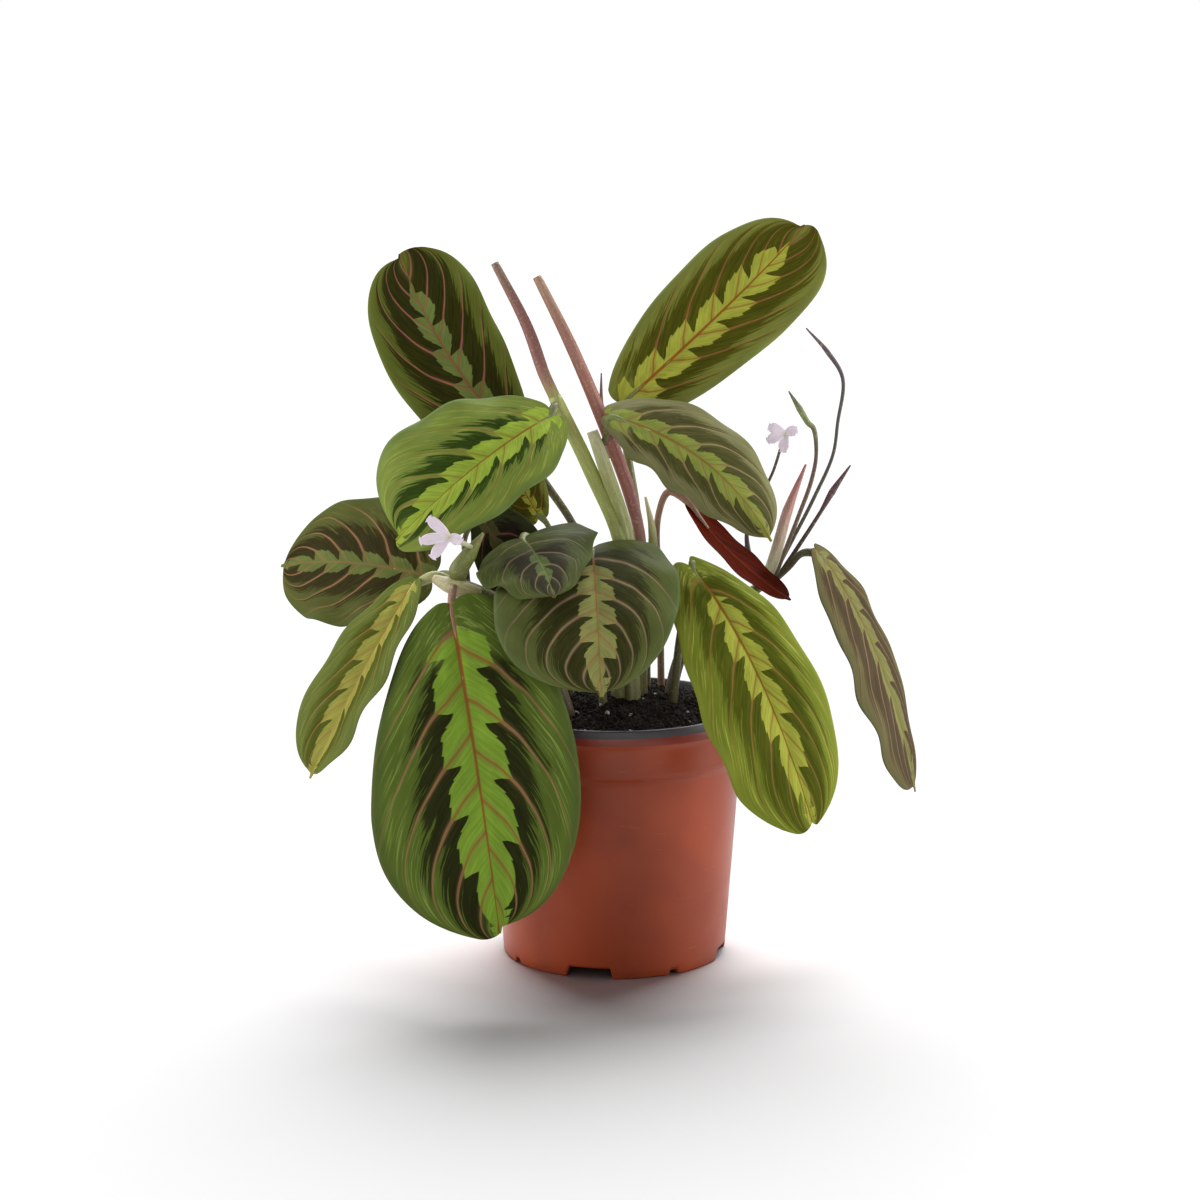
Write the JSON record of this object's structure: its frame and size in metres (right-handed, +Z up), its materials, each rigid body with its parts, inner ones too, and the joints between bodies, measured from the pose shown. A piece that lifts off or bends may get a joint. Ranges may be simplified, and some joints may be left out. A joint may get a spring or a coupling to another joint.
{
  "type": "potted prayer plant",
  "caption": "Potted prayer plant: patterned oval leaves on sheathed stems, rolled young leaves and small flowers, in a soil-filled tapered nursery pot.",
  "frame": {"origin": "centre of the pot's underside, on the surface the pot stands on", "axes": "+Z up through the pot and the plant; +X to the right and -Y to the front of the side that most leaves face"},
  "size_m": [0.2993, 0.1742, 0.3344],
  "materials": {
    "pot_plastic": "smooth moulded nursery pot, orange brown outside, black inside and on the lip",
    "potting_soil": "dark crumbly potting mix with white grains",
    "leaf_green": "satin leaf, toothed light centre, dark blotches, brown-pink veins",
    "leaf_dark": "satin leaf, dull olive centre, very dark blotches, pink veins",
    "leaf_bright": "satin leaf, yellow-green, small dark blotches, thin red veins",
    "leaf_grey": "satin leaf, grey green, pale arched veins",
    "leaf_underside": "burgundy underside of a leaf, faint ribs",
    "young_leaf": "rolled young leaf, pink brown, fine lengthwise lines",
    "sheath": "green leaf sheath and stalk, pale streaks",
    "flower_stalk": "thin purple-brown stalk with a green bract",
    "petal": "white-lilac petal"
  },
  "bodies": {
    "root": {"pot": "pot_plastic", "soil": "potting_soil", "shoot_centre": "sheath", "shoot_left": "sheath", "shoot_right": "sheath", "leaf_upper_left": "leaf_dark", "leaf_upper_right": "leaf_green", "leaf_mid_left": "leaf_bright", "leaf_mid_right": "leaf_grey", "leaf_far_left": "leaf_dark", "leaf_lower_left": "leaf_bright", "leaf_front_large": "leaf_green", "leaf_centre_small": "leaf_grey", "leaf_centre_shaded": "leaf_dark", "leaf_centre_heart": "leaf_grey", "leaf_right_front": "leaf_bright", "leaf_right_red": "leaf_underside", "leaf_far_right": "leaf_grey", "leaf_back_small": "leaf_green", "rolled_leaf_left": "young_leaf", "rolled_leaf_right": "young_leaf", "needle_sheath": "flower_stalk", "flower_stalk_short": "flower_stalk", "flower_stalk_bract": "flower_stalk", "flower_stalk_tall": "flower_stalk", "flower_stalk_bud": "flower_stalk", "flower_left": "petal", "flower_right": "petal"}
  },
  "joints": []
}
